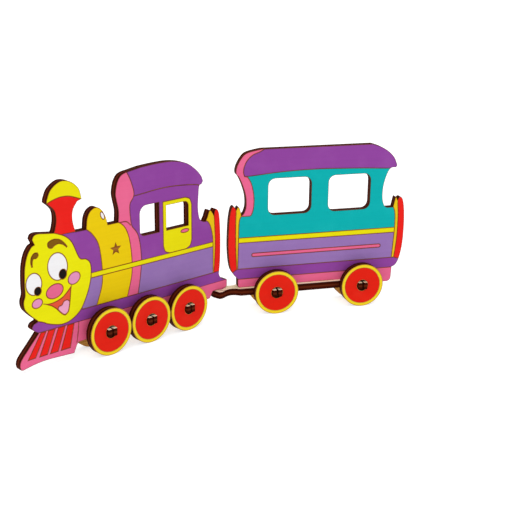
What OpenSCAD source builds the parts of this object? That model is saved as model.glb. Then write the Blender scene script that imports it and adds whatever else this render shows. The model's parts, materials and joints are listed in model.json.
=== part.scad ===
/* [Plywood] */
// Thickness of the sheet that every piece is cut from
ply = 3; // [2.8:0.1:3.2]

/* [Wheels] */
// Outside diameter of a wheel
wheel_d = 19; // [17:0.1:19.2]
// Diameter of the hole that a wheel turns on
wheel_bore_d = 5; // [4.98:0.01:5.1]
// Gap between the middle plane of the train and a wheel's inner face
wheel_inner_y = 4.35; // [4.2:0.05:4.5]
// Distance from one locomotive axle to the next
axle_pitch = 19.35; // [19.25:0.05:19.5]

/* [Chassis strips] */
// Width of the strip that lies flat under each vehicle
strip_w = 7.2; // [6.6:0.1:8.2]
// Width of a forked tongue that carries a wheel
tongue_w = 3.9; // [3.6:0.05:3.95]
// Width of the slot that lets a tongue spring
fork_gap = 0.8; // [0.5:0.1:1.2]
// Width of a tongue over its two barbs
barb_w = 4.3; // [4.2:0.1:4.8]
// Distance from the middle plane to a tongue's tip
tongue_reach = 8.5; // [8.4:0.1:9.5]

/* [Coupling] */
// Distance from the first locomotive axle back to the coupling peg
peg_x = 60.8; // [60:0.1:61]
// Width of the coupling peg, as cut from the body sheet
peg_w = 3; // [2.8:0.05:3]
// Diameter of the hole that the peg drops into
eye_bore_d = 4.4; // [4.4:0.01:4.5]
// Width of the eye around that hole, over its two points
eye_w = 10.8; // [10:0.1:11]
// Width of the neck behind the eye
neck_w = 4; // [3.6:0.1:5]
// Distance from the peg back to the carriage's first axle
carriage_lead = 23.7; // [23:0.1:24]
// How far the carriage stands turned from the straight line
carriage_turn = 27.2; // [0:0.1:90]

/* [Hidden] */
axle_z = wheel_d / 2;
barb_y = wheel_inner_y + ply + 0.1;
carriage_wheelbase = 2 * axle_pitch;
seat_z = ply / 2;
tail_z = seat_z + 0.1;
tab_w = 7;
$fn = 48;

// One point of a smooth curve between b and c, with a and d as the neighbours
function between(a, b, c, d, t) =
    0.5 * (2 * b + (c - a) * t + (2 * a - 5 * b + 4 * c - d) * t * t
           + (3 * b - a - 3 * c + d) * t * t * t);

// A smooth curve through every point of a list, with a few steps from one to the next
function smooth(p, steps = 4) = concat(
    [for (i = [0 : len(p) - 2], s = [0 : steps - 1])
        between(p[max(i - 1, 0)], p[i], p[i + 1], p[min(i + 2, len(p) - 1)], s / steps)],
    [p[len(p) - 1]]);

// An arc about a centre, from one angle to another
function arc(c, r, from, to, steps = 5) =
    [for (s = [0 : steps]) c + r * [cos(from + (to - from) * s / steps),
                                    sin(from + (to - from) * s / steps)]];

// A corner of a window: rounded when it has a radius, square when it hasn't
function corner(x, z, r, sx, sz, from) =
    r == 0 ? [[x, z]] : arc([x - sx * r, z - sz * r], r, from, from + 90);

// A window from its edges and its four radii: top right, top left, bottom left, bottom right
function window(x0, x1, z0, z1, radii) = concat(
    corner(x1, z1, radii[0], 1, 1, 0), corner(x0, z1, radii[1], -1, 1, 90),
    corner(x0, z0, radii[2], -1, -1, 180), corner(x1, z0, radii[3], 1, -1, 270));

// The locomotive's outline. X is measured from the first axle and Z from axle height
loco_catcher = concat(
    [[-11.2, -2.9], [-12, -4], [-12.8, -5.8]],
    smooth([[-13.3, -6.9], [-20, -6.5], [-25, -6.3], [-30, -6.6], [-35.6, -7.6]]),
    smooth([[-36.4, -7.3], [-36.8, -5.6], [-36, -3.4], [-33, 0]]),
    [[-28.2, 5.2]]);
loco_face = concat(
    smooth([[-29.5, 6], [-30.9, 7.5], [-30.2, 9], [-28.6, 9.6]]),
    smooth([[-28.3, 10], [-31, 12.5], [-33.4, 15.5], [-33.8, 18.4], [-33, 21], [-33, 25],
            [-32.6, 31], [-31.4, 35.5], [-29.6, 38.3], [-28.1, 39.1]]),
    smooth([[-29, 41.1], [-28.2, 42.5], [-26.4, 42.9], [-23, 42.4], [-19.8, 41.9]]));
loco_chimney = concat(
    smooth([[-19.3, 43], [-18.6, 46.5], [-19.2, 50.2], [-22.3, 53.3]]),
    smooth([[-22.2, 54.4], [-20.7, 57.7], [-18, 59.9], [-15.2, 60.7], [-11.6, 59.7],
            [-8.4, 56.7], [-7.3, 52.6]]),
    smooth([[-9.2, 52], [-11.2, 49.2], [-11.6, 45.2], [-10.5, 40.6]]));
loco_dome = concat(
    smooth([[-5.8, 40.5], [-5.3, 44.5], [-3.8, 47.2], [-1.2, 48.3], [1.2, 47],
            [3.1, 43.8], [3.9, 40.6]]));
loco_cab = concat(
    smooth([[8.8, 40.6], [9, 45], [8.2, 49], [7.8, 52], [8.7, 56], [10.4, 58.5], [12.6, 59.4]]),
    smooth([[20, 60.4], [27, 60.7], [35, 60.5], [42, 58.9], [46.8, 55.8], [50, 52.4], [51, 50]]),
    smooth([[50.2, 48.9], [49, 48.2], [48.6, 44.5], [48.3, 39.5], [49, 35], [50.4, 33.4],
            [52.3, 32.8]]));
loco_bellows = concat(
    smooth([[53.3, 34.5], [54.6, 37.2], [56.2, 35.6], [56.9, 34.2]]),
    smooth([[57.2, 36.2], [58.2, 37.1], [59.6, 35], [60.2, 29], [60.4, 22], [60.2, 14],
            [59.6, 8.8]]));
loco_tail = concat(
    smooth([[59.9, 7.7], [60.6, 6.8], [62, 5.9], [63.9, 5.3]]),
    [[64.1, 4.9], [64.1, 2.4], [63.3, tail_z], [peg_x + peg_w / 2, tail_z],
     [peg_x + peg_w / 2, -seat_z], [peg_x - peg_w / 2, -seat_z],
     [peg_x - peg_w / 2, tail_z], [56.2, tail_z], [54.5, -1.2], [46, -1.2]]);
loco_outline = concat(loco_catcher, loco_face, loco_chimney, loco_dome, loco_cab,
                      loco_bellows, loco_tail, [[46, seat_z], [-6, seat_z], [-6, -2.9]]);
cab_window = window(19, 28.4, 33, 45.1, [0, 3.3, 2, 0]);
door_window = window(32, 43.2, 33, 43.2, [2, 0, 0, 0]);

// The carriage's outline. X is measured from its own first axle and Z from axle height
carriage_front = concat(
    [[-15.7, 5.3]],
    smooth([[-17.2, 7], [-18.6, 9.2], [-19.5, 13], [-20, 20], [-19.8, 28], [-19.4, 33],
            [-18.6, 36.6], [-17.6, 37.3]]),
    smooth([[-16.6, 35.7], [-15.8, 37], [-15, 36], [-14.3, 33]]));
carriage_roof = concat(
    smooth([[-13.2, 34.2], [-12.4, 37], [-12.6, 41.5], [-14, 46.2], [-15.5, 49.5],
            [-16.8, 51.4], [-16.3, 54.4], [-14.3, 57.9], [-11.8, 59.8], [-6, 61]]),
    smooth([[43, 60.9], [47, 59.5], [50.6, 57.3], [53.2, 54.6], [54.7, 51.2]]));
carriage_rear = concat(
    smooth([[54.2, 50.3], [51.7, 50], [50, 47], [48.7, 42], [48.6, 37], [49.5, 33.8],
            [50.9, 32.7]]),
    [[53.7, 32.7]],
    smooth([[54.1, 34.5], [54.8, 37.2], [55.7, 35.5]]),
    smooth([[56.2, 36.7], [57.2, 37], [58.2, 35.6], [59, 31], [59.3, 24], [59, 16],
            [57.9, 9.8], [56.3, 6.4], [54.5, 5.4]]));
carriage_skirt = concat(
    arc([52.3, 0.8], 2, 0, -90),
    [[46.5, -1.2], [46.5, seat_z]],
    arc([-14.7, 2.5], 1, -90, -180));
carriage_outline = concat(carriage_front, carriage_roof, carriage_rear, carriage_skirt);
carriage_window_front = window(-2.8, 16.1, 32.7, 48.3, [3, 3, 3, 3]);
carriage_window_rear = window(23.8, 42.7, 32.7, 48.3, [3, 3, 3, 3]);

// One side of the coupling eye and its neck. X is measured from the peg and Y from the middle
eye_side = concat(
    smooth([[-3.5, 0], [-3.1, 2], [-2.2, 3.6], [-0.8, eye_w / 2]]),
    smooth([[0.6, eye_w / 2 - 0.5], [2, 3.7], [3.5, 2.5], [5.3, neck_w / 2], [7, neck_w / 2 + 0.4],
            [9, strip_w / 2]]),
    [[10, strip_w / 2]]);

// Puts a piece of the locomotive in place: the origin is on the ground under its middle axle
module on_loco() {
    translate([-axle_pitch, 0, axle_z]) children();
}

// Puts a piece of the carriage in place: it swivels about the peg
module on_carriage() {
    translate([peg_x - axle_pitch, 0, axle_z]) rotate([0, 0, -carriage_turn])
        translate([carriage_lead, 0, 0]) children();
}

// A sheet that stands on edge along the middle of a vehicle
module upright() {
    rotate([90, 0, 0]) linear_extrude(ply, center = true) children();
}

// A sheet that lies flat at axle height
module flat() {
    linear_extrude(ply, center = true) children();
}

// The tabs that hang from a body sheet, or the slots that they drop through
module tabs(places) {
    for (x = places)
        translate([x - tab_w / 2, -ply / 2, -seat_z]) cube([tab_w, ply, 2 * seat_z]);
}

// A forked tongue that points along +Y: a wheel is pushed over its barbs and then runs on it
module tongue() {
    tip_w = barb_w - 0.5;
    barb_back = 0.3;
    difference() {
        polygon([[-tongue_w / 2, 0], [-tongue_w / 2, barb_y], [-barb_w / 2, barb_y + barb_back],
                 [-tip_w / 2, tongue_reach], [tip_w / 2, tongue_reach],
                 [barb_w / 2, barb_y + barb_back], [tongue_w / 2, barb_y], [tongue_w / 2, 0]]);
        translate([-fork_gap / 2, strip_w / 2 - 0.5]) square([fork_gap, tongue_reach]);
    }
}

// A strip with a pair of tongues at each axle
module strip(x0, x1, axles) {
    flat() translate([x0, -strip_w / 2]) square([x1 - x0, strip_w]);
    for (x = axles, turn = [0, 180])
        translate([x, 0, 0]) rotate([0, 0, turn]) flat() tongue();
}

loco_tabs = [9.7, 29];
carriage_tabs = [8, 30.7];

// The locomotive: one upright sheet with the face, the chimney, the dome and the cab
module loco_body() {
    color("orchid") on_loco() {
        upright() difference() {
            polygon(loco_outline);
            polygon(cab_window);
            polygon(door_window);
        }
        tabs(loco_tabs);
    }
}

// The strip under the locomotive, with six tongues
module loco_chassis() {
    color("burlywood") on_loco() difference() {
        strip(-6, 46, [0, axle_pitch, 2 * axle_pitch]);
        tabs(loco_tabs);
    }
}

// The carriage: one upright sheet with two windows
module carriage_body() {
    color("darkturquoise") on_carriage() {
        upright() difference() {
            polygon(carriage_outline);
            polygon(carriage_window_front);
            polygon(carriage_window_rear);
        }
        tabs(carriage_tabs);
    }
}

// The strip under the carriage, with four tongues and the coupling eye on a neck
module carriage_chassis() {
    color("burlywood") on_carriage() difference() {
        union() {
            strip(-14.7, 46.5, [0, carriage_wheelbase]);
            translate([-carriage_lead, 0, 0]) flat() polygon(concat(
                eye_side, [for (i = [len(eye_side) - 1 : -1 : 1]) [eye_side[i].x, -eye_side[i].y]]));
        }
        translate([-carriage_lead, 0, -ply]) cylinder(h = 2 * ply, d = eye_bore_d);
        tabs(carriage_tabs);
    }
}

// A wheel with its bore, on the left (-1) or the right (1) of an axle
module wheel(x, side) {
    color("crimson") translate([x, side * (wheel_inner_y + ply / 2), 0]) rotate([90, 0, 0])
        difference() {
            cylinder(h = ply, d = wheel_d, center = true);
            cylinder(h = 2 * ply, d = wheel_bore_d, center = true);
        }
}

module loco_wheel_front_left() { on_loco() wheel(0, -1); }
module loco_wheel_front_right() { on_loco() wheel(0, 1); }
module loco_wheel_middle_left() { on_loco() wheel(axle_pitch, -1); }
module loco_wheel_middle_right() { on_loco() wheel(axle_pitch, 1); }
module loco_wheel_rear_left() { on_loco() wheel(2 * axle_pitch, -1); }
module loco_wheel_rear_right() { on_loco() wheel(2 * axle_pitch, 1); }
module carriage_wheel_front_left() { on_carriage() wheel(0, -1); }
module carriage_wheel_front_right() { on_carriage() wheel(0, 1); }
module carriage_wheel_rear_left() { on_carriage() wheel(carriage_wheelbase, -1); }
module carriage_wheel_rear_right() { on_carriage() wheel(carriage_wheelbase, 1); }

loco_body();
loco_chassis();
loco_wheel_front_left();
loco_wheel_front_right();
loco_wheel_middle_left();
loco_wheel_middle_right();
loco_wheel_rear_left();
loco_wheel_rear_right();
carriage_body();
carriage_chassis();
carriage_wheel_front_left();
carriage_wheel_front_right();
carriage_wheel_rear_left();
carriage_wheel_rear_right();
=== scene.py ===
import json
import math

import bpy
import numpy as np
from mathutils import Matrix, Vector
from mathutils.geometry import delaunay_2d_cdt


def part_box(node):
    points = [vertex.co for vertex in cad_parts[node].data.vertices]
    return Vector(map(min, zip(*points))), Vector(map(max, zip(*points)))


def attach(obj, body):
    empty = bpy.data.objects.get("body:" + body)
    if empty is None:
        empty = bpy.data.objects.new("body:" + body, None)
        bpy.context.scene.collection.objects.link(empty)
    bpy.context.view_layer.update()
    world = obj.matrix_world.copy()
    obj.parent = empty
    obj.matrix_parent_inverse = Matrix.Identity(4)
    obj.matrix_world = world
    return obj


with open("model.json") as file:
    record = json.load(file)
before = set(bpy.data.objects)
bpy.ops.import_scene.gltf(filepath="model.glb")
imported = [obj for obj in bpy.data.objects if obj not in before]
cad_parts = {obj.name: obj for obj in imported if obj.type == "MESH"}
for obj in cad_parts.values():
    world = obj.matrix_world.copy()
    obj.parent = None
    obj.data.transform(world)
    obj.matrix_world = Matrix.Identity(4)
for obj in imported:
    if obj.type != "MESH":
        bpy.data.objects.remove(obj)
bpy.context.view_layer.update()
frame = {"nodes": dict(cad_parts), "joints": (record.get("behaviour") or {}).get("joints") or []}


# ---- Camera: it stands off the locomotive's face, a little above the chimney, and looks
# down along the train's left side. The roll is the small tilt of a hand-held frame.
camera_place = (-0.23683, -0.31766, 0.16154)
camera_heading = math.radians(43.29)
camera_dip = math.radians(17.81)
camera_roll = math.radians(0.72)

camera_data = bpy.data.cameras.new("camera")
camera_data.sensor_width = 36
camera_data.lens = 74.5
camera = bpy.data.objects.new("camera", camera_data)
bpy.context.collection.objects.link(camera)
camera.matrix_world = (
    Matrix.Translation(camera_place)
    @ Matrix.Rotation(-camera_heading, 4, "Z")
    @ Matrix.Rotation(math.radians(90) - camera_dip, 4, "X")
    @ Matrix.Rotation(camera_roll, 4, "Z")
)
bpy.context.scene.camera = camera
bpy.context.scene.view_settings.view_transform = "Standard"


# ---- Studio: a backlit sheet of white acrylic under an even white sky, with one broad soft
# lamp high up behind the camera. The light from below keeps the shadow faint.
floor_half = 6.0


def linear(red, green, blue):
    """A colour chip's 0-255 values as linear light: ((c + 0.055) / 1.055) to the power 2.4,
    and c / 12.92 for the darkest tones."""
    chip = np.array([red, green, blue]) / 255
    light = np.where(chip <= 0.04045, chip / 12.92, ((chip + 0.055) / 1.055) ** 2.4)
    return (*light.tolist(), 1.0)


def make_piece(name, corners, faces, material):
    """A mesh object at the origin from an array of corners and lists of faces."""
    mesh = bpy.data.meshes.new(name)
    mesh.from_pydata(np.asarray(corners, float).tolist(), [], faces)
    mesh.materials.append(material)
    mesh.update()
    piece = bpy.data.objects.new(name, mesh)
    bpy.context.collection.objects.link(piece)
    return piece


def new_material(name):
    """A node material with its shader, and the point on the piece that every pattern reads."""
    material = bpy.data.materials.new(name)
    material.use_nodes = True
    nodes, links = material.node_tree.nodes, material.node_tree.links
    shader = nodes["Principled BSDF"]
    place = nodes.new("ShaderNodeTexCoord")
    return material, nodes, links, shader, place


def floor_sheet():
    """Backlit white acrylic: a soft cloud in its tone and a fine tooth as bump."""
    material, nodes, links, shader, place = new_material("white_acrylic")
    cloud = nodes.new("ShaderNodeTexNoise")
    cloud.inputs["Scale"].default_value = 3
    tone = nodes.new("ShaderNodeMix")
    tone.data_type = "RGBA"
    tone.inputs["A"].default_value = (0.58, 0.58, 0.58, 1)
    tone.inputs["B"].default_value = (0.62, 0.62, 0.62, 1)
    tooth = nodes.new("ShaderNodeTexNoise")
    tooth.inputs["Scale"].default_value = 900
    bump = nodes.new("ShaderNodeBump")
    bump.inputs["Strength"].default_value = 0.05
    bump.inputs["Distance"].default_value = 0.0001
    shader.inputs["Roughness"].default_value = 0.9
    shader.inputs["Specular IOR Level"].default_value = 0.1
    shader.inputs["Emission Color"].default_value = (1, 1, 1, 1)
    shader.inputs["Emission Strength"].default_value = 0.66
    links.new(place.outputs["Object"], cloud.inputs["Vector"])
    links.new(place.outputs["Object"], tooth.inputs["Vector"])
    links.new(cloud.outputs["Fac"], tone.inputs["Factor"])
    links.new(tone.outputs["Result"], shader.inputs["Base Color"])
    links.new(tooth.outputs["Fac"], bump.inputs["Height"])
    links.new(bump.outputs["Normal"], shader.inputs["Normal"])
    return material


floor_ends = np.array([-floor_half, floor_half])
floor_x, floor_y = np.meshgrid(floor_ends, floor_ends)
floor_corners = np.stack([floor_x, floor_y, np.zeros_like(floor_x)], -1).reshape(-1, 3)
floor = make_piece("floor", floor_corners, [(0, 1, 3, 2)], floor_sheet())

world = bpy.data.worlds.new("even_sky")
bpy.context.scene.world = world
world.use_nodes = True
sky = world.node_tree.nodes["Background"]
sky.inputs["Color"].default_value = (1, 1, 1, 1)
sky.inputs["Strength"].default_value = 0.9

lamp_data = bpy.data.lights.new("soft_lamp", "AREA")
lamp_data.shape = "SQUARE"
lamp_data.size = 1.2
lamp_data.energy = 8.3
lamp = bpy.data.objects.new("soft_lamp", lamp_data)
bpy.context.collection.objects.link(lamp)
lamp_place = Vector((-0.9, -0.9, 1.3))
lamp.location = lamp_place
lamp.rotation_euler = (-lamp_place).to_track_quat("-Z", "Y").to_euler()


# ---- Chassis strips: a flat birch-ply strip lies under each vehicle at axle height. Its
# faces and its tongues' tops are bare pale birch, and the laser has scorched every cut edge.
mm = 0.001
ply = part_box("loco_body")[1].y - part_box("loco_body")[0].y
axle_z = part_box("loco_wheel_front_left")[1].z / 2
wheel_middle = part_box("loco_wheel_front_right")[0].y + ply / 2
strip_half = 3.6 * mm
soot_width = 0.9 * mm

spins = {joint["name"]: joint for joint in frame["joints"]}


class Vehicle:
    """A vehicle's own measure: x back from its first axle, y to its right-hand side and z up
    from axle height. The first wheel's joint gives the place and the direction."""

    def __init__(self, first_joint):
        axis = spins[first_joint]["axis"]
        place = np.array(spins[first_joint]["pos_m"])
        self.across = np.array([axis[0], axis[1], 0])
        self.along = np.array([axis[1], -axis[0], 0])
        self.origin = place + self.across * wheel_middle
        self.turn = math.atan2(self.along[1], self.along[0])

    def place(self, x, y, z):
        """Points in the row's frame: origin + x along + y across + z up."""
        up = np.array([0, 0, 1])
        return (self.origin + np.multiply.outer(x, self.along)
                + np.multiply.outer(y, self.across) + np.multiply.outer(z, up))


loco = Vehicle("loco_wheel_front_left_spin")
carriage = Vehicle("carriage_wheel_front_left_spin")


def value_sockets(group, inputs, outputs):
    """Gives a node group its named value, vector and colour sockets."""
    kinds = {"value": "NodeSocketFloat", "vector": "NodeSocketVector", "colour": "NodeSocketColor"}
    for name, kind in inputs:
        group.interface.new_socket(name, in_out="INPUT", socket_type=kinds[kind])
    for name, kind in outputs:
        group.interface.new_socket(name, in_out="OUTPUT", socket_type=kinds[kind])
    return group.nodes.new("NodeGroupInput"), group.nodes.new("NodeGroupOutput")


def maths(nodes, links, operation, first, second=None):
    """A maths node whose inputs are sockets or plain numbers."""
    node = nodes.new("ShaderNodeMath")
    node.operation = operation
    for socket, value in zip(node.inputs, (first, second)):
        if value is None:
            continue
        if isinstance(value, (int, float)):
            socket.default_value = value
        else:
            links.new(value, socket)
    return node.outputs[0]


def ramp(nodes, links, value, stops):
    """A colour ramp from (position, colour) pairs."""
    node = nodes.new("ShaderNodeValToRGB")
    bar = node.color_ramp
    while len(bar.elements) < len(stops):
        bar.elements.new(0.5)
    for element, (position, colour) in zip(bar.elements, stops):
        element.position = position
        element.color = colour
    links.new(value, node.inputs["Fac"])
    return node.outputs["Color"]


def wood_grain_group():
    """Birch veneer with its grain along X: long streaks from noise that is stretched forty
    times along the grain, with short dark pores, as a value from 0 to 1 and a height."""
    group = bpy.data.node_groups.new("birch_grain", "ShaderNodeTree")
    come, go = value_sockets(
        group, [("Place", "vector")], [("Streak", "value"), ("Height", "value")])
    nodes, links = group.nodes, group.links
    stretch = nodes.new("ShaderNodeMapping")
    stretch.inputs["Scale"].default_value = (0.025, 1, 1)
    links.new(come.outputs["Place"], stretch.inputs["Vector"])
    streaks = nodes.new("ShaderNodeTexNoise")
    streaks.inputs["Scale"].default_value = 900
    streaks.inputs["Detail"].default_value = 5
    streaks.inputs["Roughness"].default_value = 0.6
    links.new(stretch.outputs["Vector"], streaks.inputs["Vector"])
    pores = nodes.new("ShaderNodeTexNoise")
    pores.inputs["Scale"].default_value = 4200
    pores.inputs["Detail"].default_value = 1
    links.new(stretch.outputs["Vector"], pores.inputs["Vector"])
    dark = maths(nodes, links, "GREATER_THAN", pores.outputs["Fac"], 0.64)
    streak = maths(nodes, links, "SUBTRACT", streaks.outputs["Fac"],
                   maths(nodes, links, "MULTIPLY", dark, 0.16))
    links.new(streak, go.inputs["Streak"])
    links.new(streak, go.inputs["Height"])
    return group


def scorch_group():
    """A laser-cut edge of three-layer ply. Depth is the distance from the sheet's middle, from
    0 to 1: the middle layer stays a little lighter, the glue lines and outer layers are black
    brown, and the beam leaves fine lines straight through the sheet."""
    group = bpy.data.node_groups.new("scorched_edge", "ShaderNodeTree")
    come, go = value_sockets(group, [("Place", "vector"), ("Depth", "value")],
                             [("Colour", "colour"), ("Rough", "value"), ("Height", "value")])
    nodes, links = group.nodes, group.links
    smoke = nodes.new("ShaderNodeTexNoise")
    smoke.inputs["Scale"].default_value = 260
    smoke.inputs["Detail"].default_value = 4
    links.new(come.outputs["Place"], smoke.inputs["Vector"])
    beam = nodes.new("ShaderNodeTexNoise")
    beam.inputs["Scale"].default_value = 3200
    beam.inputs["Detail"].default_value = 2
    links.new(come.outputs["Place"], beam.inputs["Vector"])
    wander = maths(nodes, links, "MULTIPLY",
                   maths(nodes, links, "SUBTRACT", smoke.outputs["Fac"], 0.5), 0.35)
    layer = maths(nodes, links, "ADD", come.outputs["Depth"], wander)
    layers = ramp(nodes, links, layer, [
        (0.0, linear(90, 35, 14)), (0.27, linear(82, 29, 10)), (0.36, linear(38, 6, 1)),
        (0.46, linear(60, 13, 2)), (0.8, linear(54, 10, 2)), (1.0, linear(32, 5, 1))])
    soot = nodes.new("ShaderNodeMix")
    soot.data_type = "RGBA"
    soot.blend_type = "MULTIPLY"
    soot.inputs["Factor"].default_value = 0.55
    tone = ramp(nodes, links, smoke.outputs["Fac"], [
        (0.3, (0.45, 0.42, 0.4, 1)), (0.7, (1.25, 1.2, 1.15, 1))])
    links.new(layers, soot.inputs["A"])
    links.new(tone, soot.inputs["B"])
    links.new(soot.outputs["Result"], go.inputs["Colour"])
    links.new(maths(nodes, links, "ADD", maths(nodes, links, "MULTIPLY", smoke.outputs["Fac"], 0.3),
                    0.5), go.inputs["Rough"])
    links.new(beam.outputs["Fac"], go.inputs["Height"])
    return group


birch_grain = wood_grain_group()
scorched_edge = scorch_group()


def own_measure(nodes, links, place, vehicle, centre_z):
    """The point on a piece in its vehicle's measure: moved to the middle of the sheet and
    turned back to the straight line."""
    mapping = nodes.new("ShaderNodeMapping")
    mapping.vector_type = "TEXTURE"
    mapping.inputs["Location"].default_value = (vehicle.origin[0], vehicle.origin[1], centre_z)
    mapping.inputs["Rotation"].default_value = (0, 0, vehicle.turn)
    links.new(place.outputs["Object"], mapping.inputs["Vector"])
    facing = nodes.new("ShaderNodeMapping")
    facing.vector_type = "TEXTURE"
    facing.inputs["Rotation"].default_value = (0, 0, vehicle.turn)
    links.new(place.outputs["Normal"], facing.inputs["Vector"])
    return mapping.outputs["Vector"], facing.outputs["Vector"]


def part_of(nodes, links, vector, letter):
    """One of a vector's three numbers, without its sign."""
    split = nodes.new("ShaderNodeSeparateXYZ")
    links.new(vector, split.inputs["Vector"])
    return maths(nodes, links, "ABSOLUTE", split.outputs[letter])


def ply_material(name, vehicle, letter, middle, wood):
    """Laser-cut ply. Letter is the axis that runs through the sheet, and middle is how far the
    sheet's middle stands from the vehicle's. The faces take the wood's colours, from light to
    dark along the grain, and every other surface is a scorched edge. Smoke has browned the
    faces of a flat strip towards its long sides."""
    material, nodes, links, shader, place = new_material(name)
    here, facing = own_measure(nodes, links, place, vehicle, axle_z)
    grain = nodes.new("ShaderNodeGroup")
    grain.node_tree = birch_grain
    links.new(here, grain.inputs["Place"])
    scorch = nodes.new("ShaderNodeGroup")
    scorch.node_tree = scorched_edge
    straight = nodes.new("ShaderNodeMapping")
    straight.inputs["Scale"].default_value = (1, 0.06, 1) if letter == "Y" else (1, 1, 0.06)
    links.new(here, straight.inputs["Vector"])
    links.new(straight.outputs["Vector"], scorch.inputs["Place"])
    depth = maths(nodes, links, "ABSOLUTE", maths(
        nodes, links, "SUBTRACT", part_of(nodes, links, here, letter), middle))
    links.new(maths(nodes, links, "DIVIDE", depth, ply / 2), scorch.inputs["Depth"])
    veneer = ramp(nodes, links, grain.outputs["Streak"], [
        (0.3, linear(*wood[1])), (0.5, linear(*wood[0])), (0.72, linear(*wood[2]))])
    is_face = maths(nodes, links, "GREATER_THAN", part_of(nodes, links, facing, letter), 0.7)
    if letter == "Z":
        out = part_of(nodes, links, here, "Y")
        soot = nodes.new("ShaderNodeMapRange")
        soot.interpolation_type = "SMOOTHSTEP"
        soot.inputs["From Min"].default_value = strip_half - soot_width
        soot.inputs["From Max"].default_value = strip_half
        soot.inputs["To Min"].default_value = 0
        soot.inputs["To Max"].default_value = 0.8
        links.new(out, soot.inputs["Value"])
        margin = maths(nodes, links, "MULTIPLY", soot.outputs["Result"],
                       maths(nodes, links, "LESS_THAN", out, strip_half + 0.05 * mm))
        is_face = maths(nodes, links, "MULTIPLY", is_face,
                        maths(nodes, links, "SUBTRACT", 1, margin))
    colour = nodes.new("ShaderNodeMix")
    colour.data_type = "RGBA"
    links.new(is_face, colour.inputs["Factor"])
    links.new(scorch.outputs["Colour"], colour.inputs["A"])
    links.new(veneer, colour.inputs["B"])
    links.new(colour.outputs["Result"], shader.inputs["Base Color"])
    links.new(scorch.outputs["Rough"], shader.inputs["Roughness"])
    shader.inputs["Specular IOR Level"].default_value = 0.02
    height = nodes.new("ShaderNodeMix")
    links.new(is_face, height.inputs["Factor"])
    links.new(scorch.outputs["Height"], height.inputs["A"])
    links.new(grain.outputs["Height"], height.inputs["B"])
    bump = nodes.new("ShaderNodeBump")
    bump.inputs["Strength"].default_value = 0.5
    bump.inputs["Distance"].default_value = 0.05 * mm
    links.new(height.outputs["Result"], bump.inputs["Height"])
    links.new(bump.outputs["Normal"], shader.inputs["Normal"])
    return material


def finish_node(name, material):
    """Gives a carried-over part its material."""
    node = frame["nodes"][name]
    for slot in node.material_slots:
        slot.material = material


bare_birch = [(248, 229, 194), (228, 203, 160), (252, 241, 216)]
finish_node("loco_chassis", ply_material("loco_strip_birch", loco, "Z", 0, bare_birch))
finish_node("carriage_chassis",
            ply_material("carriage_strip_birch", carriage, "Z", 0, bare_birch))


# ---- Wheels: birch-ply discs with a scorched tread and bore. The outer face carries a red
# disc and a yellow ring of thick paint, and the inner face is bare wood that smoke has tanned.
# Each one is pushed over its forked tongue and runs on it.
paint_thick = 0.09 * mm
paint_sunk = 0.03 * mm
disc_lip = 0.05 * mm
tread_lip = 0.2 * mm
wheel_r = axle_z
bore_r = 2.5 * mm
red_r = 7.95 * mm
ring_gap = 0.14 * mm
rim_bare = 0.08 * mm
tanned_birch = [(182, 134, 68), (158, 108, 46), (202, 158, 92)]


def paint_coat_group():
    """A brushed-on coat over birch: the wood's grain just shows through as streaks in the tone
    and as bump, broad clouds shift the tone, and small rubbed spots are duller."""
    group = bpy.data.node_groups.new("paint_coat", "ShaderNodeTree")
    come, go = value_sockets(
        group, [("Place", "vector"), ("Colour", "colour"), ("Dark", "colour"), ("Pale", "colour")],
        [("Colour", "colour"), ("Rough", "value"), ("Height", "value")])
    nodes, links = group.nodes, group.links
    grain = nodes.new("ShaderNodeGroup")
    grain.node_tree = birch_grain
    links.new(come.outputs["Place"], grain.inputs["Place"])
    cloud = nodes.new("ShaderNodeTexNoise")
    cloud.inputs["Scale"].default_value = 110
    cloud.inputs["Detail"].default_value = 3
    links.new(come.outputs["Place"], cloud.inputs["Vector"])
    fleck = nodes.new("ShaderNodeTexNoise")
    fleck.inputs["Scale"].default_value = 1700
    fleck.inputs["Detail"].default_value = 2
    links.new(come.outputs["Place"], fleck.inputs["Vector"])
    deep = nodes.new("ShaderNodeMapRange")
    deep.inputs["From Min"].default_value = 0.6
    deep.inputs["From Max"].default_value = 0.3
    deep.inputs["To Max"].default_value = 0.22
    links.new(grain.outputs["Streak"], deep.inputs["Value"])
    shaded = nodes.new("ShaderNodeMix")
    shaded.data_type = "RGBA"
    links.new(deep.outputs["Result"], shaded.inputs["Factor"])
    links.new(come.outputs["Colour"], shaded.inputs["A"])
    links.new(come.outputs["Dark"], shaded.inputs["B"])
    thin = nodes.new("ShaderNodeMapRange")
    thin.inputs["From Min"].default_value = 0.5
    thin.inputs["From Max"].default_value = 0.75
    thin.inputs["To Max"].default_value = 0.6
    links.new(cloud.outputs["Fac"], thin.inputs["Value"])
    bright = nodes.new("ShaderNodeMix")
    bright.data_type = "RGBA"
    links.new(thin.outputs["Result"], bright.inputs["Factor"])
    links.new(shaded.outputs["Result"], bright.inputs["A"])
    links.new(come.outputs["Pale"], bright.inputs["B"])
    links.new(bright.outputs["Result"], go.inputs["Colour"])
    rubbed = maths(nodes, links, "MULTIPLY", fleck.outputs["Fac"], 0.22)
    links.new(maths(nodes, links, "ADD", rubbed,
                    maths(nodes, links, "MULTIPLY", cloud.outputs["Fac"], 0.2)), go.inputs["Rough"])
    tooth = maths(nodes, links, "MULTIPLY", fleck.outputs["Fac"], 0.35)
    links.new(maths(nodes, links, "ADD", grain.outputs["Height"], tooth), go.inputs["Height"])
    return group


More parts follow.
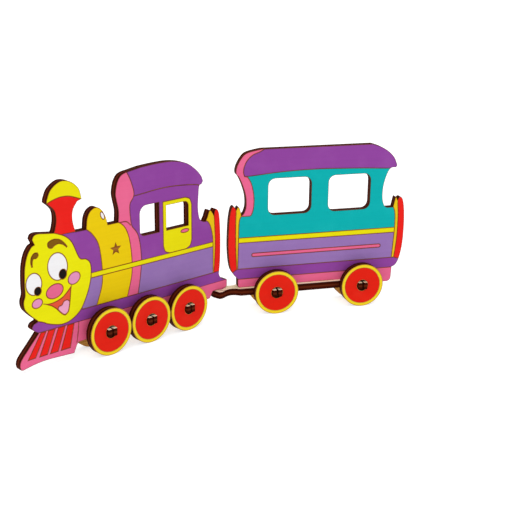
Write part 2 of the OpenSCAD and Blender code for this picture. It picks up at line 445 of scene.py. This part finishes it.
paint_coat = paint_coat_group()
paints = {
    "red": (218, 27, 20), "wheel_red": (208, 26, 8), "yellow": (216, 206, 0),
    "lemon": (217, 213, 0), "ring_gold": (221, 196, 30), "gold": (214, 180, 14),
    "amber": (218, 187, 0), "purple": (132, 61, 145), "lilac": (139, 106, 166),
    "pink": (217, 94, 134), "teal": (0, 161, 161), "white": (225, 224, 226),
    "black": (18, 8, 9), "nose_pink": (211, 94, 131), "blush": (211, 136, 176),
    "lip_red": (210, 77, 52), "tongue_pink": (220, 152, 184), "brown": (116, 78, 8),
}
# How much darker each of red, green and blue gets on a coat's sloping shoulder.
shoulder_tint = np.array([0.7, 0.54, 0.52])
mixed = {}


def paint_material(colour, vehicle):
    """Satin acrylic in one of the toy's colours, mixed once for each vehicle. Where a coat's
    shoulder slopes down to a burnt line, it takes a darker, browner tone."""
    name = colour + ("_paint_loco" if vehicle is loco else "_paint_carriage")
    if name in mixed:
        return mixed[name]
    material, nodes, links, shader, place = new_material(name)
    here, facing = own_measure(nodes, links, place, vehicle, axle_z)
    chip = np.array(paints[colour])
    brushed = nodes.new("ShaderNodeGroup")
    brushed.node_tree = paint_coat
    brushed.inputs["Colour"].default_value = linear(*chip)
    brushed.inputs["Dark"].default_value = linear(*(chip * 0.91))
    brushed.inputs["Pale"].default_value = linear(*(chip + (255 - chip) * 0.05))
    links.new(here, brushed.inputs["Place"])
    # A coat's sloping shoulders, whose faces turn away from the sheet's face, take the chip
    # darkened and browned.
    top = maths(nodes, links, "GREATER_THAN", part_of(nodes, links, facing, "Y"), 0.9)
    shoulder_tone = nodes.new("ShaderNodeMix")
    shoulder_tone.data_type = "RGBA"
    shoulder_tone.inputs["A"].default_value = linear(*(chip * shoulder_tint))
    links.new(top, shoulder_tone.inputs["Factor"])
    links.new(brushed.outputs["Colour"], shoulder_tone.inputs["B"])
    links.new(shoulder_tone.outputs["Result"], shader.inputs["Base Color"])
    rough = maths(nodes, links, "ADD", brushed.outputs["Rough"], 0.3)
    links.new(rough, shader.inputs["Roughness"])
    shader.inputs["Specular IOR Level"].default_value = 0.06
    bump = nodes.new("ShaderNodeBump")
    bump.inputs["Strength"].default_value = 0.2
    bump.inputs["Distance"].default_value = 0.03 * mm
    links.new(brushed.outputs["Height"], bump.inputs["Height"])
    links.new(bump.outputs["Normal"], shader.inputs["Normal"])
    mixed[name] = material
    return material


def paint_ring(name, wheel, vehicle, joint, inner, outer, lip, colour):
    """A ring of paint on a wheel's outer face: a low profile with rounded shoulders, given by
    radius and height, is turned about the axle. Place is the centre plus radius times (cos, sin)
    in the wheel's plane plus height along the axle."""
    side = -1 if wheel.endswith("left") else 1
    centre = np.array(spins[joint]["pos_m"])
    axis = np.array(spins[joint]["axis"])
    forward = np.array([axis[1], -axis[0], 0])
    radius = np.array([inner, inner + disc_lip, outer - lip, outer])
    height = ply / 2 + np.array([-paint_sunk, paint_thick, paint_thick, -paint_sunk])
    angle = np.linspace(0, 2 * math.pi, 72, endpoint=False)
    flat = (np.multiply.outer(np.cos(angle), forward)
            + np.multiply.outer(np.sin(angle), np.array([0, 0, 1])))
    around = len(angle)
    ring = np.arange(4)
    onward = np.roll(ring, -1)
    spoke = np.arange(around)[:, None] * 4
    ahead = np.roll(spoke, -1, axis=0)
    quads = np.stack([spoke + ring, spoke + onward, ahead + onward, ahead + ring],
                     -1).reshape(-1, 4)
    corners = (centre + radius[None, :, None] * flat[:, None, :]
               + side * height[None, :, None] * axis).reshape(-1, 3)
    piece = make_piece(name, corners, quads[:, ::-side].tolist(), paint_material(colour, vehicle))
    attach(piece, wheel)


wheel_wood = {
    loco: ply_material("loco_wheel_ply", loco, "Y", wheel_middle, tanned_birch),
    carriage: ply_material("carriage_wheel_ply", carriage, "Y", wheel_middle, tanned_birch)}
for wheel in frame["nodes"]:
    if "wheel" not in wheel:
        continue
    vehicle = loco if wheel.startswith("loco") else carriage
    finish_node(wheel, wheel_wood[vehicle])
    paint_ring(wheel + "_red_disc", wheel, vehicle, wheel + "_spin",
               bore_r + rim_bare, red_r, disc_lip, "wheel_red")
    paint_ring(wheel + "_yellow_ring", wheel, vehicle, wheel + "_spin",
               red_r + ring_gap, wheel_r - rim_bare, tread_lip, "ring_gold")


# ---- Painted sheets: each vehicle is one sheet of ply that stands on edge. The laser has cut
# its outline and windows and burnt a fine line between one colour and the next, on both faces.
# Each colour is a thick coat with sloping shoulders that stops just short of those lines.
line_half = 0.05 * mm
edge_bare = 0.04 * mm
shoulder = 0.18 * mm
sure_length = 0.05
engraved_birch = [(132, 80, 30), (104, 58, 20), (160, 106, 46)]


def smooth(points, steps=6):
    """A curve through every point: between b and c, with neighbours a and d, it is half of
    2b + (c - a)t + (2a - 5b + 4c - d)t^2 + (3b - a - 3c + d)t^3."""
    p = np.array(points, float)
    a, b, c, d = np.concatenate([p[:1], p[:-2]]), p[:-1], p[1:], np.concatenate([p[2:], p[-1:]])
    t = np.linspace(0, 1, steps, endpoint=False)[:, None, None]
    bend = (2 * b + (c - a) * t + (2 * a - 5 * b + 4 * c - d) * t ** 2
            + (3 * b - a - 3 * c + d) * t ** 3) / 2
    return np.concatenate([bend.transpose(1, 0, 2).reshape(-1, 2), p[-1:]])


def oval(x, z, half_wide, half_high, tilt=0):
    """An ellipse about (x, z): (half_wide cos, half_high sin), turned by the tilt in degrees."""
    angle = np.linspace(0, 2 * math.pi, 28, endpoint=False)
    lean = math.radians(tilt)
    across, rise = half_wide * np.cos(angle), half_high * np.sin(angle)
    return np.stack([x + across * math.cos(lean) - rise * math.sin(lean),
                     z + across * math.sin(lean) + rise * math.cos(lean)], 1)


def hairline(points):
    """A burnt line along a curve: the curve and its copy a hair to one side. The coats on both
    sides of it draw back, and that leaves the line."""
    path = np.array(points, float)
    return np.concatenate([path, path[::-1] + [0.02, 0.02]])


def joined(*stretches):
    """One closed outline from points and curves, in order."""
    return np.concatenate([np.atleast_2d(np.array(part, float)) for part in stretches])


def closed_edges(outline):
    """The edges of a closed outline, from each point to the next."""
    return np.stack([outline, np.roll(outline, -1, axis=0)], 1)


def sheet_edges(node, vehicle):
    """The outline and windows of a sheet's left face in its vehicle's measure, in mm: the edges
    that only one triangle of that face has."""
    mesh = frame["nodes"][node].data
    spots = np.zeros(len(mesh.vertices) * 3)
    mesh.vertices.foreach_get("co", spots)
    off = spots.reshape(-1, 3) - vehicle.origin
    own = np.stack([off @ vehicle.along, off @ vehicle.across, off[:, 2]], 1) / mm
    mesh.calc_loop_triangles()
    thirds = np.zeros(len(mesh.loop_triangles) * 3, int)
    mesh.loop_triangles.foreach_get("vertices", thirds)
    thirds = thirds.reshape(-1, 3)
    face = thirds[(own[thirds, 1] < -ply / mm / 2 + 0.01).all(1)]
    spot, same = np.unique(np.round(own[:, [0, 2]], 3), axis=0, return_inverse=True)
    return spot[rim_of(same.reshape(-1)[face])]


def rim_of(triangles, chosen=slice(None)):
    """The directed edges round the chosen triangles, or round them all: those whose way back
    isn't there too."""
    some = triangles[chosen]
    way = np.concatenate([some[:, [0, 1]], some[:, [1, 2]], some[:, [2, 0]]])
    big = triangles.max() + 1
    return way[~np.isin(way[:, 1] * big + way[:, 0], way[:, 0] * big + way[:, 1])]


def wound(points, edges):
    """How many times the edges go anticlockwise round each point: the edges that a ray to the
    right meets on their way up, less those that it meets on their way down."""
    x, z = points[:, None, 0], points[:, None, 1]
    start, end = edges[None, :, 0], edges[None, :, 1]
    rising = end[..., 1] > z
    spans = (start[..., 1] > z) != rising
    rise = np.where(spans, end[..., 1] - start[..., 1], 1)
    meets = start[..., 0] + (z - start[..., 1]) * (end[..., 0] - start[..., 0]) / rise
    return ((spans & (meets > x)) * np.where(rising, 1, -1)).sum(1)


def inside(points, edges):
    """True where edges that run either way round enclose a point an odd number of times."""
    return wound(points, edges) % 2 == 1


def cut_up(edges):
    """Triangles that keep every edge: their corners, anticlockwise, and the places of them."""
    spot, same = np.unique(np.round(edges.reshape(-1, 2), 3), axis=0, return_inverse=True)
    pair = same.reshape(-1, 2)
    pair = pair[pair[:, 0] != pair[:, 1]]
    found = delaunay_2d_cdt([Vector(p) for p in spot], pair.tolist(), [], 0, 1e-5)
    corners = np.array([tuple(v) for v in found[0]])
    triangles = np.array(found[2])
    a, b, c = corners[triangles].transpose(1, 0, 2)
    turn = (b - a)[:, 0] * (c - a)[:, 1] - (b - a)[:, 1] * (c - a)[:, 0]
    return corners, np.where((turn > 0)[:, None], triangles, triangles[:, ::-1])


def drawn_in(corners, rim, depth):
    """The edges of a rim after each corner moves inwards, to stand its depth from both of its
    edges: the shortest move m for which the inward normal of each edge times m is that edge's
    depth, up to twice that depth. An edge under the sure length, in mm, counts for less.
    Where tight corners make the edges cross, only what they still go round anticlockwise is
    kept."""
    run = corners[rim[:, 1]] - corners[rim[:, 0]]
    length = np.linalg.norm(run, axis=1)
    normal = np.stack([-run[:, 1], run[:, 0]], 1) / length[:, None]
    weight = np.minimum(1, (length / sure_length) ** 2)
    square = np.zeros((len(corners), 2, 2))
    goal = np.zeros((len(corners), 2))
    most = np.zeros(len(corners))
    for end in (0, 1):
        np.maximum.at(most, rim[:, end], 2 * depth)
        np.add.at(square, rim[:, end],
                  normal[:, :, None] * normal[:, None, :] * weight[:, None, None])
        np.add.at(goal, rim[:, end], normal * (depth * weight)[:, None])
    move = (np.linalg.pinv(square, rcond=0.05, hermitian=True) @ goal[:, :, None])[:, :, 0]
    move *= (most / np.maximum(np.linalg.norm(move, axis=1), most + 1e-9))[:, None]
    edges = (corners + move)[rim]
    spots, triangles = cut_up(edges)
    return spots[rim_of(triangles, wound(spots[triangles].mean(1), edges) > 0)]


def shouldered(foot, top):
    """Triangles inside a foot's edges that keep the top's edges too, and which of their corners
    are high: all but those on the foot. A triangle with no high corner is left out."""
    spots, thirds = cut_up(np.concatenate([foot, top]))
    thirds = thirds[wound(spots[thirds].mean(1), foot) > 0]
    high = ~np.isin(np.arange(len(spots)), rim_of(thirds))
    thirds = thirds[high[thirds].any(1)]
    kept, thirds = np.unique(thirds, return_inverse=True)
    return spots[kept], thirds.reshape(-1, 3), high[kept]


def necks(spots, thirds, high):
    """The middles of the edges between two triangles whose ends are both low, as edges of no
    length: there a coat would have no thickness."""
    edges = np.sort(thirds[:, [[0, 1], [1, 2], [2, 0]]].reshape(-1, 2), 1)
    edges, times = np.unique(edges, axis=0, return_counts=True)
    low = edges[(times == 2) & ~high[edges].any(1)]
    return spots[low].mean(1)[:, None].repeat(2, 1)


def coat(name, body, vehicle, corners, rim, depth, colour):
    """One colour's coat on both faces of a sheet. The rim drawn in is its foot, and the rim
    drawn in a little more is the edge of its flat top. A sloping shoulder joins the two, and
    the coat's back lies under both."""
    foot = drawn_in(corners, rim, depth)
    top = drawn_in(corners, rim, depth + shoulder / mm)
    middles = necks(*shouldered(foot, top))
    spots, thirds, high = shouldered(foot, np.concatenate([top, middles]))
    under = np.where(high, len(spots) + np.cumsum(high) - 1, np.arange(len(spots)))
    flat = np.concatenate([spots, spots[high]]) * mm
    height = np.full(len(flat), -paint_sunk)
    height[:len(spots)][high] = paint_thick
    points, faces = [], []
    for side in (-1, 1):
        start = len(flat) * len(points)
        points.append(vehicle.place(flat[:, 0], side * (ply / 2 + height), flat[:, 1]))
        for group in (thirds, under[thirds][:, ::-1]):
            faces += (group[:, ::side * -1] + start).tolist()
    piece = make_piece(name, np.concatenate(points), faces, paint_material(colour, vehicle))
    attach(piece, body)


def paint_sheet(node, body, vehicle, areas):
    """Paints a sheet. Areas are (piece, colour, outline) in the order of painting: the first
    covers the whole sheet, each later one covers what it lies on, and one with no colour is
    left as bare burnt wood. Areas that share a name make up one piece."""
    outline = sheet_edges(node, vehicle)
    drawn = [closed_edges(area[2]) for area in areas[1:]]
    corners, triangles = cut_up(np.concatenate([outline] + drawn))
    middles = corners[triangles].mean(1)
    owner = np.where(inside(middles, outline), 0, -1)
    names = [area[0] for area in areas]
    for number, edges in enumerate(drawn, 1):
        owner[(owner >= 0) & inside(middles, edges)] = names.index(names[number])
    on_sheet = rim_of(triangles, owner >= 0)
    big = len(corners) + 1
    for number, (name, colour, _) in enumerate(areas):
        if colour is None or not (owner == number).any():
            continue
        rim = rim_of(triangles, owner == number)
        outer = np.isin(rim[:, 0] * big + rim[:, 1], on_sheet[:, 0] * big + on_sheet[:, 1])
        depth = np.where(outer, edge_bare, line_half) / mm
        coat(name, body, vehicle, corners, rim, depth, colour)


# ---- The locomotive's sheet: a smiling face on the smoke box, a red chimney with a yellow cap,
# a boiler of coloured hoops with a dome, and a cab with a door, over a pink frame and a cow
# catcher. X is measured back from the first axle and z up from axle height, in mm.
board_low, board_top = 5.3, 9.8
line_low, line_top = 21.3, 23.3

finish_node("loco_body", ply_material("loco_sheet_ply", loco, "Y", 0, engraved_birch))

hoop_front = smooth([(-5.9, 40.6), (-4.8, 39.8), (-3.5, 38.6), (-1.2, 35.2), (0, 31), (0.7, 24),
                     (0.6, 19), (-0.2, 15.5), (-1.5, 12), (-2.4, board_top)])
hoop_back = smooth([(8.7, 40.6), (10, 39.9), (11.8, 38), (13.2, 35), (14.1, 31), (14.7, 25),
                    (14.6, 19.5), (13.8, 15.5), (12.1, board_top)])
ring_back = smooth([(12.6, 60.5), (14.4, 57.3), (15.6, 54.2), (16.4, 51.2), (16.1, 49.3),
                    (14.5, 47), (14.3, 44), (14.6, 40.5), (15.1, 38), (16.6, 36), (17.9, 33.8),
                    (18.8, 30), (19.25, 25), (19.1, 20.5), (18.4, 15.5), (17.3, board_top)])
face_edge = smooth([(-28.2, 9.8), (-26, 8.9), (-24, 7.8), (-20, 6.5), (-17, 6.2), (-13.5, 7.1),
                    (-9.5, 10), (-6.4, 15.6), (-4.9, 20), (-4.3, 24), (-4.7, 27.4), (-6.4, 29.2),
                    (-8.8, 29.8), (-10.1, 31.8), (-12.3, 36.9), (-15, 39.7), (-18, 41.2),
                    (-20, 42)])
cap_edge = smooth([(-22.8, 53), (-20, 54.1), (-16.5, 54.8), (-13, 54.6), (-10, 53.6),
                   (-7, 52.3)])
gold_edge = smooth([(52.4, 33.3), (53.8, 32.2), (55.1, 29.8), (56.1, 25.5), (56.3, 21),
                    (56.3, board_top)])
red_edge = smooth([(56.9, 34.6), (57.2, 30), (57.5, 24), (57.3, 17), (56.7, board_top)])
star_turn = np.radians(90 + 36 * np.arange(10))
star_reach = np.where(np.arange(10) % 2, 0.95, 2.3)
star = np.stack([7.2 + star_reach * np.cos(star_turn), 30.4 + star_reach * np.sin(star_turn)], 1)


def slat(top_left, top_right, low_left, low_right):
    """A slanting bar of the cow catcher between the frame and its lower edge."""
    return joined((top_left, 5.1), (low_left, -4.2), (low_right, -4.1), (top_right, 5.1))


loco_areas = [
    ("loco_purple_panels", "purple", None),
    ("loco_pink_frame", "pink",
     joined((-60, -20), (90, -20), (90, board_low), (-60, board_low))),
    ("loco_lilac_panel", "lilac",
     joined((-9, board_top), (56.3, board_top), (56.3, line_low), (-9, line_low))),
    ("boiler_amber_hoop", "amber",
     joined(hoop_front[::-1], (-7, 42), (-7, 52), (5, 52), (5, 41.2), hoop_back)),
    ("cab_pink_front", "pink",
     joined(hoop_back[::-1], (6.5, 41.2), (5, 52), (5, 62), ring_back)),
    ("loco_yellow_line", "yellow",
     joined((-9, line_low), (56.4, line_low), (56.4, line_top), (-9, line_top))),
    ("chimney_red_stem", "red",
     joined(cap_edge, (-5, 48), (-10.2, 40.7), (-17, 40.7), (-24, 43), (-24.5, 52))),
    ("chimney_yellow_cap", "yellow", joined(cap_edge, (-4, 53), (-6, 64), (-24, 64))),
    ("face_yellow", "lemon", joined(face_edge, (-20.2, 43.5), (-42, 46), (-42, 10.4))),
    ("bellows_gold", "gold", joined(gold_edge, red_edge[::-1], (56.9, 40), (52, 40))),
    ("bellows_red", "red", joined(red_edge, (70, board_top), (70, 42), (56.9, 42))),
    ("door_yellow", "yellow", joined(
        (30.3, 44.9), (30.3, 26.8), smooth([(30.3, 26.8), (31.2, 24.4), (33.6, 23.3)]),
        smooth([(41.8, 23.3), (44, 24.4), (44.9, 26.8)]),
        smooth([(44.9, 41.5), (43.9, 43.9), (41.5, 44.9)]))),
    ("door_handle", "pink", oval(41.3, 31.1, 2.1, 0.75)),
    ("dome_glint", "white", oval(1.6, 44.6, 0.75, 1.6, 22)),
    ("boiler_star", None, star),
    ("cow_catcher_slats", "red", slat(-27.3, -25.2, -33.3, -30.2)),
    ("cow_catcher_slats", "red", slat(-24.1, -21.2, -28.4, -25.1)),
    ("cow_catcher_slats", "red", slat(-19.8, -16.9, -23.8, -20.4)),
    ("cow_catcher_slats", "red", slat(-15.7, -12.9, -19.1, -15)),
    ("frame_line", None, hairline([(-10.7, 5.2), (-11.1, 2), (-12, -2.8)])),
    ("roof_line", None, hairline(smooth([(16.8, 49.7), (20, 49.9), (28, 50.5), (34, 50.5),
                                         (40, 50.1), (47, 49.2), (48.9, 48.6)], 3))),
    ("cab_front_line", None, hairline(smooth([(9.3, 40.4), (12.5, 40.2), (14.4, 38.5)], 3))),
    ("eye_whites", "white", oval(-18.9, 29, 4.2, 5.35, 9)),
    ("eye_whites", "white", oval(-29.2, 24.45, 3.3, 4.2, 3)),
    ("pupils", "black", oval(-16.8, 25.6, 1.62, 1.92)),
    ("pupils", "black", oval(-27.7, 21.4, 1.45, 1.6)),
    ("nose", "nose_pink", oval(-20.6, 19.8, 3.7, 2.7, 12)),
    ("cheeks", "blush", oval(-12, 23, 2.75, 2.25, 25)),
    ("cheeks", "blush", oval(-28.2, 16.8, 2.2, 1.75, 12)),
    ("smile", "lip_red", joined(
        smooth([(-25.7, 16), (-23.4, 15.4), (-20.2, 15.7), (-17.5, 16.6), (-15.6, 18),
                (-14.2, 19.3), (-13.3, 20.3)]),
        smooth([(-13.7, 18.8), (-13.9, 16.9), (-14.3, 13.9), (-14.9, 11), (-15.4, 10.2),
                (-16.5, 9.5), (-17.6, 10), (-19.1, 11.5), (-20.3, 12.9), (-22.1, 14.4)]))),
    ("tongue", "tongue_pink", joined(
        smooth([(-19.6, 12.5), (-19.1, 13.4), (-17.8, 13.7), (-16.9, 14.9), (-15.5, 15.2),
                (-14.5, 14.5)]),
        smooth([(-14.4, 13.7), (-15, 11.1), (-15.5, 10.3), (-16.5, 9.7), (-17.5, 10.1),
                (-19, 11.6)]))),
    ("brows", "brown", joined(
        smooth([(-21.4, 39.4), (-22.6, 38.6), (-22.4, 37), (-21, 36.5), (-19.6, 37.3),
                (-17.9, 37.6), (-16, 36.8), (-14.7, 35.6)]),
        smooth([(-14.5, 35.8), (-15.4, 37.1), (-17.3, 38.9), (-19.6, 39.6),
                (-21.4, 39.4)]))),
    ("brows", "brown", joined(
        smooth([(-27.1, 35.9), (-26.8, 34.9), (-27.7, 34), (-28.9, 34), (-29.4, 32.6),
                (-29.4, 31.1)]),
        smooth([(-29.7, 31.1), (-30, 32.8), (-29.6, 34.8), (-28.4, 36), (-27.1, 35.9)]))),
]
paint_sheet("loco_body", "loco", loco, loco_areas)


# ---- The carriage's sheet: a purple roof over teal walls with two windows, a lilac panel with
# a pink bar, red and gold bellows at both ends and a pink skirt. The measure is the carriage's
# own, back from its first axle.
finish_node("carriage_body", ply_material("carriage_sheet_ply", carriage, "Y", 0, engraved_birch))

roof_edge = smooth([(-14.2, 49.7), (-8, 50.1), (0, 50.8), (10, 51.3), (20, 51.4), (30, 51.1),
                    (40, 50.7), (50, 50.1), (58, 49.8)])
post_edge = smooth([(-3, 62), (-6.5, 60), (-9.5, 58.8), (-11.9, 56.7), (-13.3, 54),
                    (-13.6, 51.5), (-13.1, 49.8)])
post_foot = smooth([(-11.9, 49.6), (-10.5, 47.3), (-9.5, 44), (-9, 40), (-9.2, 36),
                    (-10, 33.4), (-10.7, 32.8)])
front_red_edge = smooth([(-16.6, 36), (-16.8, 31), (-16.8, 24), (-16.6, 16), (-16.2, 9.7)])
front_gold_edge = smooth([(-14.4, 33), (-15.3, 30.5), (-15.5, 24), (-15.7, 16),
                          (-15.8, board_top)])
rear_gold_edge = smooth([(53.7, 33.1), (54.7, 30), (54.9, 24), (54.5, 16), (54.1, board_top)])
rear_red_edge = smooth([(55.7, 35.8), (56.2, 30), (56.3, 25), (56.1, 18), (55.2, board_top)])

carriage_areas = [
    ("carriage_teal_walls", "teal", None),
    ("carriage_purple_panels", "purple", joined(roof_edge, (58, 66), (-25, 66), (-25, 49.7))),
    ("carriage_pink_post", "pink",
     joined(post_edge, post_foot, (-14.3, 32.8), (-14.1, 38), (-25, 45), (-25, 63))),
    ("carriage_lilac_panel", "lilac",
     joined((-17, board_top), (55, board_top), (55, line_low), (-17, line_low))),
    ("carriage_yellow_line", "yellow",
     joined((-16, line_low), (55, line_low), (55, line_top + 0.2), (-16, line_top + 0.2))),
    ("carriage_purple_panels", "purple",
     joined((-25, board_low), (70, board_low), (70, board_top), (-25, board_top))),
    ("carriage_pink_skirt", "pink",
     joined((-25, -10), (70, -10), (70, board_low), (-25, board_low))),
    ("carriage_front_gold", "gold",
     joined(front_gold_edge, front_red_edge[::-1], (-16.6, 40), (-14.2, 40))),
    ("carriage_front_red", "red",
     joined(front_red_edge, (-19.2, 7.7), (-30, 7.7), (-30, 40), (-16.6, 40))),
    ("carriage_rear_gold", "gold",
     joined(rear_gold_edge, rear_red_edge[::-1], (55.7, 40), (53.6, 40))),
    ("carriage_rear_red", "red",
     joined(rear_red_edge, (57, 9.2), (70, 8.4), (70, 40), (55.7, 40))),
    ("carriage_pink_bar", "pink",
     joined(smooth([(-8.9, 14.9), (-9.6, 15.2), (-9.6, 16.1), (-8.9, 16.4)], 2),
            smooth([(47.8, 16.4), (48.5, 16.1), (48.5, 15.2), (47.8, 14.9)], 2))),
]
paint_sheet("carriage_body", "carriage", carriage, carriage_areas)
